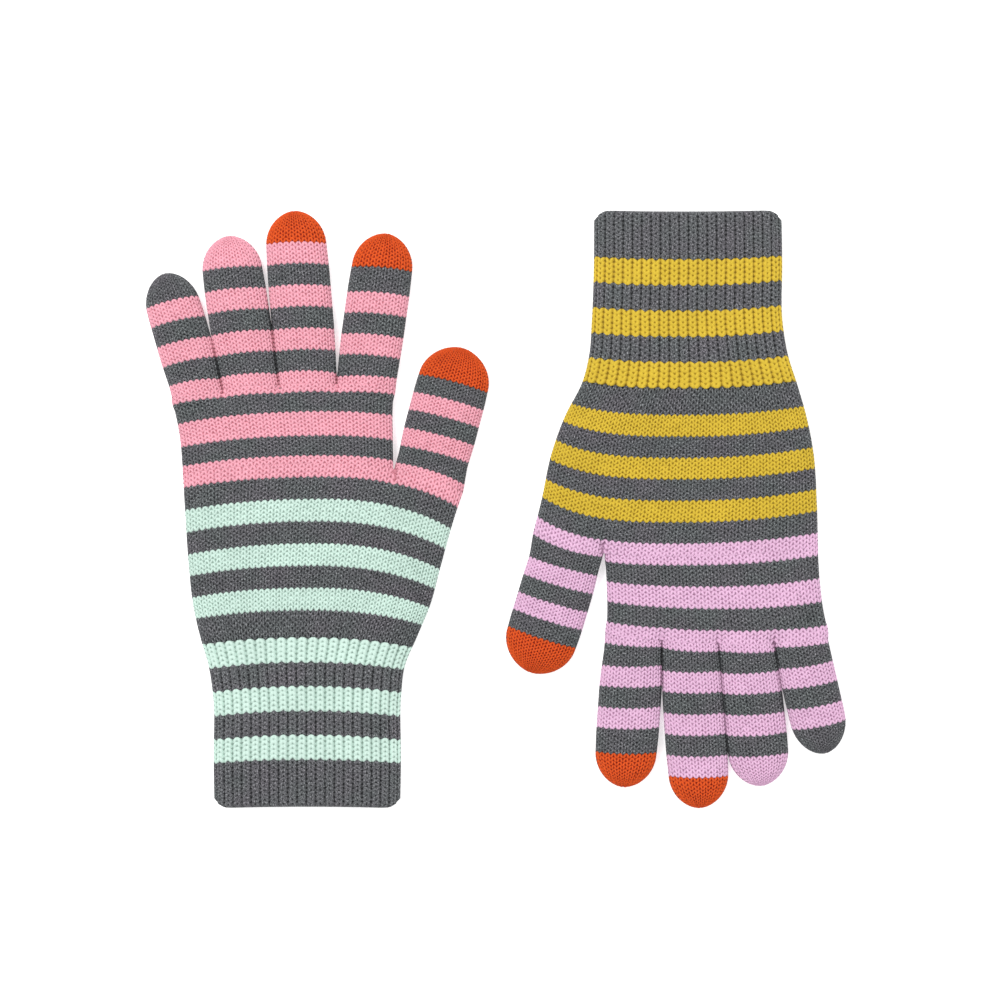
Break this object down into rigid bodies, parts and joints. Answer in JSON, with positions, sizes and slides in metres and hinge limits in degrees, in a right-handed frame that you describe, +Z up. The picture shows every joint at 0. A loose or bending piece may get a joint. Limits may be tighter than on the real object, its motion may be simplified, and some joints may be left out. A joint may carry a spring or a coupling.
{
  "type": "knitted gloves",
  "caption": "Pair of striped knitted gloves lying flat, with ribbed cuffs and orange touchscreen tips on thumb, index and middle fingers.",
  "frame": {"origin": "centre of the pair's footprint, on the surface it lies on", "axes": "+X from the left glove to the right glove, +Y towards the left glove's fingertips and the right glove's wrist edge, +Z up from the surface"},
  "size_m": [0.2708, 0.2298, 0.0094],
  "materials": {
    "grey_yarn": "heathered dark grey knit, matt",
    "mint_yarn": "pale mint knit, matt",
    "pink_yarn": "warm pink knit, matt",
    "mustard_yarn": "mustard yellow knit, matt",
    "lilac_yarn": "pale lilac knit, matt",
    "orange_touch_yarn": "burnt orange conductive knit, matt"
  },
  "bodies": {
    "left_hand": {"left_lower_hand": "mint_yarn", "left_upper_hand": "pink_yarn", "left_little_base": "pink_yarn", "left_ring_base": "pink_yarn", "left_middle_base": "pink_yarn", "left_index_base": "pink_yarn", "left_thumb_base": "pink_yarn"},
    "left_cuff": {"left_cuff_band": "grey_yarn", "left_ribbed_cuff": "mint_yarn"},
    "left_little_proximal": {"left_little_proximal": "pink_yarn"},
    "left_little_distal": {"left_little_distal": "grey_yarn"},
    "left_ring_proximal": {"left_ring_proximal": "pink_yarn"},
    "left_ring_distal": {"left_ring_distal": "pink_yarn"},
    "left_middle_proximal": {"left_middle_proximal": "pink_yarn"},
    "left_middle_distal": {"left_middle_distal": "pink_yarn", "left_middle_touch_tip": "orange_touch_yarn"},
    "left_index_proximal": {"left_index_proximal": "pink_yarn"},
    "left_index_distal": {"left_index_distal": "pink_yarn", "left_index_touch_tip": "orange_touch_yarn"},
    "left_thumb_proximal": {"left_thumb_proximal": "pink_yarn"},
    "left_thumb_distal": {"left_thumb_distal": "pink_yarn", "left_thumb_touch_tip": "orange_touch_yarn"},
    "right_hand": {"right_lower_hand": "mustard_yarn", "right_upper_hand": "lilac_yarn", "right_little_base": "lilac_yarn", "right_ring_base": "lilac_yarn", "right_middle_base": "lilac_yarn", "right_index_base": "lilac_yarn", "right_thumb_base": "lilac_yarn"},
    "right_cuff": {"right_cuff_band": "grey_yarn", "right_ribbed_cuff": "mustard_yarn"},
    "right_little_proximal": {"right_little_proximal": "lilac_yarn"},
    "right_little_distal": {"right_little_distal": "grey_yarn"},
    "right_ring_proximal": {"right_ring_proximal": "lilac_yarn"},
    "right_ring_distal": {"right_ring_distal": "lilac_yarn"},
    "right_middle_proximal": {"right_middle_proximal": "lilac_yarn"},
    "right_middle_distal": {"right_middle_distal": "lilac_yarn", "right_middle_touch_tip": "orange_touch_yarn"},
    "right_index_proximal": {"right_index_proximal": "lilac_yarn"},
    "right_index_distal": {"right_index_distal": "lilac_yarn", "right_index_touch_tip": "orange_touch_yarn"},
    "right_thumb_proximal": {"right_thumb_proximal": "lilac_yarn"},
    "right_thumb_distal": {"right_thumb_distal": "lilac_yarn", "right_thumb_touch_tip": "orange_touch_yarn"}
  },
  "joints": [
    {"name": "left_wrist_fold", "type": "hinge", "parent": "left_hand", "child": "left_cuff", "pos_m": [-0.07181, -0.0474, 0.0086], "axis": [-1, 0, 0], "range_deg": [0, 60]},
    {"name": "left_little_knuckle", "type": "hinge", "parent": "left_hand", "child": "left_little_proximal", "pos_m": [-0.11822, 0.0566, 0.0084], "axis": [1, 0, 0], "range_deg": [0, 85]},
    {"name": "left_little_middle_crease", "type": "hinge", "parent": "left_little_proximal", "child": "left_little_distal", "pos_m": [-0.12236, 0.0726, 0.0084], "axis": [1, 0, 0], "range_deg": [0, 90]},
    {"name": "left_ring_knuckle", "type": "hinge", "parent": "left_hand", "child": "left_ring_proximal", "pos_m": [-0.09583, 0.0566, 0.0084], "axis": [1, 0, 0], "range_deg": [0, 85]},
    {"name": "left_ring_middle_crease", "type": "hinge", "parent": "left_ring_proximal", "child": "left_ring_distal", "pos_m": [-0.09892, 0.0801, 0.0084], "axis": [1, 0, 0], "range_deg": [0, 90]},
    {"name": "left_middle_knuckle", "type": "hinge", "parent": "left_hand", "child": "left_middle_proximal", "pos_m": [-0.07305, 0.0566, 0.0084], "axis": [1, 0, 0], "range_deg": [0, 85]},
    {"name": "left_middle_middle_crease", "type": "hinge", "parent": "left_middle_proximal", "child": "left_middle_distal", "pos_m": [-0.07484, 0.0851, 0.0084], "axis": [1, 0, 0], "range_deg": [0, 90]},
    {"name": "left_index_knuckle", "type": "hinge", "parent": "left_hand", "child": "left_index_proximal", "pos_m": [-0.04925, 0.0566, 0.0084], "axis": [1, 0, 0], "range_deg": [0, 85]},
    {"name": "left_index_middle_crease", "type": "hinge", "parent": "left_index_proximal", "child": "left_index_distal", "pos_m": [-0.0463, 0.0806, 0.0084], "axis": [1, 0, 0], "range_deg": [0, 90]},
    {"name": "left_thumb_knuckle", "type": "hinge", "parent": "left_hand", "child": "left_thumb_proximal", "pos_m": [-0.02269, 0.0241, 0.0084], "axis": [1, 0, 0], "range_deg": [0, 60]},
    {"name": "left_thumb_middle_crease", "type": "hinge", "parent": "left_thumb_proximal", "child": "left_thumb_distal", "pos_m": [-0.01837, 0.0421, 0.0084], "axis": [1, 0, 0], "range_deg": [0, 75]},
    {"name": "right_wrist_fold", "type": "hinge", "parent": "right_hand", "child": "right_cuff", "pos_m": [0.07469, 0.0474, 0.0086], "axis": [1, 0, 0], "range_deg": [0, 60]},
    {"name": "right_little_knuckle", "type": "hinge", "parent": "right_hand", "child": "right_little_proximal", "pos_m": [0.12052, -0.0566, 0.0084], "axis": [-1, 0, 0], "range_deg": [0, 85]},
    {"name": "right_little_middle_crease", "type": "hinge", "parent": "right_little_proximal", "child": "right_little_distal", "pos_m": [0.12335, -0.0726, 0.0084], "axis": [-1, 0, 0], "range_deg": [0, 90]},
    {"name": "right_ring_knuckle", "type": "hinge", "parent": "right_hand", "child": "right_ring_proximal", "pos_m": [0.09859, -0.0566, 0.0084], "axis": [-1, 0, 0], "range_deg": [0, 85]},
    {"name": "right_ring_middle_crease", "type": "hinge", "parent": "right_ring_proximal", "child": "right_ring_distal", "pos_m": [0.10127, -0.0801, 0.0084], "axis": [-1, 0, 0], "range_deg": [0, 90]},
    {"name": "right_middle_knuckle", "type": "hinge", "parent": "right_hand", "child": "right_middle_proximal", "pos_m": [0.07591, -0.0566, 0.0084], "axis": [-1, 0, 0], "range_deg": [0, 85]},
    {"name": "right_middle_middle_crease", "type": "hinge", "parent": "right_middle_proximal", "child": "right_middle_distal", "pos_m": [0.0776, -0.0851, 0.0084], "axis": [-1, 0, 0], "range_deg": [0, 90]},
    {"name": "right_index_knuckle", "type": "hinge", "parent": "right_hand", "child": "right_index_proximal", "pos_m": [0.0525, -0.0566, 0.0084], "axis": [-1, 0, 0], "range_deg": [0, 85]},
    {"name": "right_index_middle_crease", "type": "hinge", "parent": "right_index_proximal", "child": "right_index_distal", "pos_m": [0.05082, -0.0806, 0.0084], "axis": [-1, 0, 0], "range_deg": [0, 90]},
    {"name": "right_thumb_knuckle", "type": "hinge", "parent": "right_hand", "child": "right_thumb_proximal", "pos_m": [0.0252, -0.0241, 0.0084], "axis": [-1, 0, 0], "range_deg": [0, 60]},
    {"name": "right_thumb_middle_crease", "type": "hinge", "parent": "right_thumb_proximal", "child": "right_thumb_distal", "pos_m": [0.02004, -0.0421, 0.0084], "axis": [-1, 0, 0], "range_deg": [0, 75]},
    {"name": "right_glove_lift", "type": "slide", "parent": "left_hand", "child": "right_hand", "axis": [0, 0, 1], "range_m": [0, 0.1]}
  ]
}
